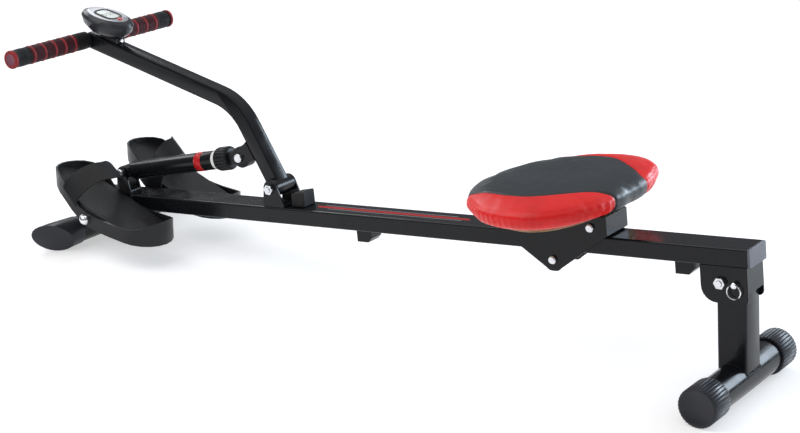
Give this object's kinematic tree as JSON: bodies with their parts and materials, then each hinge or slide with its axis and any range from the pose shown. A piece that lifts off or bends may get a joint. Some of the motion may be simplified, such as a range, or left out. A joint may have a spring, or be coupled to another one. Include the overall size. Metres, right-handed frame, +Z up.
{
  "type": "rowing machine",
  "caption": "Folding rowing machine: sliding seat on a sloping rail, one bent pull arm with a hydraulic cylinder, sandal pedals, console and folding rear leg.",
  "frame": {"origin": "on the floor, halfway between the front of the grips and the back of the rear feet, in the middle plane", "axes": "+X towards the folding rear leg, +Z up; the rower faces -X with the left foot on the -Y side"},
  "size_m": [1.4362, 0.426, 0.4459],
  "materials": {
    "painted_steel_black": "gloss",
    "plastic_black": "satin",
    "rubber_black": "matte",
    "plastic_grey": "satin",
    "zinc_plated": "satin",
    "chrome_plated": "polished",
    "foam_dark_red": "matte",
    "plastic_red": "gloss",
    "plastic_white": "satin",
    "plastic_silver": "satin",
    "display_window": "gloss",
    "vinyl_charcoal_red": "satin",
    "plywood": "matte",
    "nylon_natural": "satin"
  },
  "bodies": {
    "frame": {"main_rail": "painted_steel_black", "rail_rear_cap": "plastic_grey", "leg_bracket": "painted_steel_black", "arm_bracket": "painted_steel_black", "cylinder_bracket": "painted_steel_black", "cylinder_pin_head": "zinc_plated", "cylinder_pin_clip": "zinc_plated", "front_foot_tube": "painted_steel_black", "front_foot_cap_left": "plastic_black", "front_foot_cap_right": "plastic_black", "seat_stop_front": "rubber_black", "seat_stop_rear": "rubber_black", "arm_stop_bumper": "rubber_black", "arm_pivot_bolt": "zinc_plated", "arm_pivot_nut": "zinc_plated", "pedal_axle": "zinc_plated", "pedal_cap_nut_left": "chrome_plated", "pedal_cap_nut_right": "chrome_plated", "leg_pivot_bolt": "zinc_plated", "leg_pivot_nut": "zinc_plated"},
    "leg": {"leg_post": "painted_steel_black", "rear_foot_tube": "painted_steel_black", "rear_foot_cap_left": "rubber_black", "rear_foot_cap_right": "rubber_black"},
    "lock_pin": {"leg_lock_pin": "zinc_plated"},
    "pin_ring": {"lock_pin_ring": "zinc_plated"},
    "pedal_left": {"footbed_left": "plastic_black", "foot_strap_left": "plastic_black"},
    "pedal_right": {"footbed_right": "plastic_black", "foot_strap_right": "plastic_black"},
    "arm": {"arm_tube": "painted_steel_black", "arm_pivot_sleeve": "painted_steel_black", "arm_pivot_bush": "nylon_natural", "rod_end_bracket": "painted_steel_black", "rod_end_pin": "zinc_plated", "handlebar_tube": "painted_steel_black", "grip_left": "foam_dark_red", "grip_right": "foam_dark_red", "grip_plug_left": "plastic_red", "grip_plug_right": "plastic_red", "console_bracket": "plastic_black", "console_screw": "chrome_plated", "console_base": "plastic_black", "console_cover": "plastic_silver", "console_lens": "display_window"},
    "console_button": {"console_button": "plastic_red"},
    "rod": {"piston_rod": "chrome_plated", "rod_end_hub": "plastic_black", "scale_ring": "plastic_white"},
    "knob": {"tension_knob": "plastic_black"},
    "cylinder": {"cylinder_body": "painted_steel_black"},
    "seat": {"seat_cushion": "vinyl_charcoal_red", "seat_board": "plywood", "seat_carriage": "painted_steel_black", "roller_axle_front": "zinc_plated", "roller_axle_rear": "zinc_plated", "roller_axle_lower": "zinc_plated"},
    "roller_front": {"roller_front": "nylon_natural"},
    "roller_rear": {"roller_rear": "nylon_natural"},
    "roller_lower": {"roller_lower": "nylon_natural"}
  },
  "joints": [
    {"name": "leg_fold", "type": "hinge", "parent": "frame", "child": "leg", "pos_m": [0.65678, 0, 0.1936], "axis": [0, 1, 0], "range_deg": [0, 78]},
    {"name": "lock_pin_pull", "type": "slide", "parent": "frame", "child": "lock_pin", "axis": [0, -1, 0], "range_m": [0, 0.012]},
    {"name": "pull_ring_lift", "type": "hinge", "parent": "lock_pin", "child": "pin_ring", "pos_m": [0.6815, -0.0334, 0.19555], "axis": [-1, 0, 0], "range_deg": [0, 90]},
    {"name": "pedal_left_tilt", "type": "hinge", "parent": "frame", "child": "pedal_left", "pos_m": [-0.59101, 0, 0.08053], "axis": [0, 1, 0], "range_deg": [-30, 15]},
    {"name": "pedal_right_tilt", "type": "hinge", "parent": "frame", "child": "pedal_right", "pos_m": [-0.59101, 0, 0.08053], "axis": [0, 1, 0], "range_deg": [-30, 15]},
    {"name": "arm_swing", "type": "hinge", "parent": "frame", "child": "arm", "pos_m": [-0.2408, 0, 0.17346], "axis": [0, 1, 0], "range_deg": [0, 107]},
    {"name": "console_button_press", "type": "slide", "parent": "arm", "child": "console_button", "axis": [-0.1736, 0, -0.9848], "range_m": [0, 0.0012], "stiffness_N_per_m": 400},
    {"name": "rod_end_turn", "type": "hinge", "parent": "arm", "child": "rod", "pos_m": [-0.3243, 0, 0.21446], "axis": [0, 1, 0], "range_deg": [-105.8, 0]},
    {"name": "cylinder_extend", "type": "slide", "parent": "rod", "child": "cylinder", "axis": [-0.9625, 0, -0.2714], "range_m": [0, 0.1496]},
    {"name": "tension_knob_turn", "type": "hinge", "parent": "rod", "child": "knob", "pos_m": [-0.3243, 0, 0.21446], "axis": [0.9625, 0, 0.2714], "range_deg": [0, 300]},
    {"name": "seat_slide", "type": "slide", "parent": "frame", "child": "seat", "axis": [0.9924, 0, 0.1234], "range_m": [-0.365, 0.196]},
    {"name": "roller_front_spin", "type": "hinge", "parent": "seat", "child": "roller_front", "pos_m": [0.27901, 0, 0.21937], "axis": [0, 1, 0], "continuous": true},
    {"name": "roller_rear_spin", "type": "hinge", "parent": "seat", "child": "roller_rear", "pos_m": [0.42786, 0, 0.23789], "axis": [0, 1, 0], "continuous": true},
    {"name": "roller_lower_spin", "type": "hinge", "parent": "seat", "child": "roller_lower", "pos_m": [0.36082, 0, 0.16929], "axis": [0, 1, 0], "continuous": true}
  ],
  "couplings": [
    {"joint": "rod_end_turn", "follows": "arm_swing", "ratio": -0.98376},
    {"joint": "cylinder_extend", "follows": "arm_swing", "m_per_rad": 0.079842},
    {"joint": "roller_front_spin", "follows": "seat_slide", "rad_per_m": 66.667},
    {"joint": "roller_rear_spin", "follows": "seat_slide", "rad_per_m": 66.667},
    {"joint": "roller_lower_spin", "follows": "seat_slide", "rad_per_m": -71.429}
  ]
}
